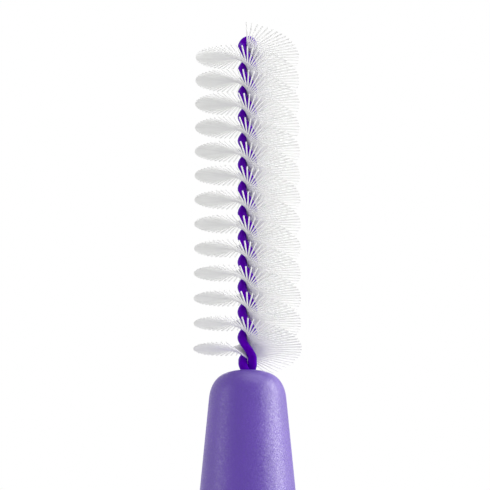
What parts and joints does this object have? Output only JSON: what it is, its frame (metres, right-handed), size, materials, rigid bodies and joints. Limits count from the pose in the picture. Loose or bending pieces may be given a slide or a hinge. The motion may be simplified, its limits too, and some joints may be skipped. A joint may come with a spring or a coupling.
{
  "type": "interdental brush",
  "caption": "Slim brush for cleaning between teeth: straight nylon filaments in a twisted, coated wire, on a tapered handle with finger ribs, standing on its flat butt.",
  "frame": {"origin": "centre of the flat butt of the handle, on the brush's axis", "axes": "+Z along the brush's axis from the butt to the wire's tip; +X across the grip's width, +Y through its thickness"},
  "size_m": [0.0092, 0.0062, 0.0772],
  "materials": {
    "handle_plastic": "satin moulded polypropylene, lavender with a faint pearl",
    "core_steel": "bright drawn stainless wire",
    "coating_plastic": "thin glossy violet plastic skin",
    "filament_nylon": "milky white nylon monofilament"
  },
  "bodies": {
    "root": {"handle": "handle_plastic", "steel_core": "core_steel", "wire_coating": "coating_plastic", "filament_row_01": "filament_nylon", "filament_row_02": "filament_nylon", "filament_row_03": "filament_nylon", "filament_row_04": "filament_nylon", "filament_row_05": "filament_nylon", "filament_row_06": "filament_nylon", "filament_row_07": "filament_nylon", "filament_row_08": "filament_nylon", "filament_row_09": "filament_nylon", "filament_row_10": "filament_nylon", "filament_row_11": "filament_nylon", "filament_row_12": "filament_nylon", "filament_row_13": "filament_nylon"}
  },
  "joints": []
}
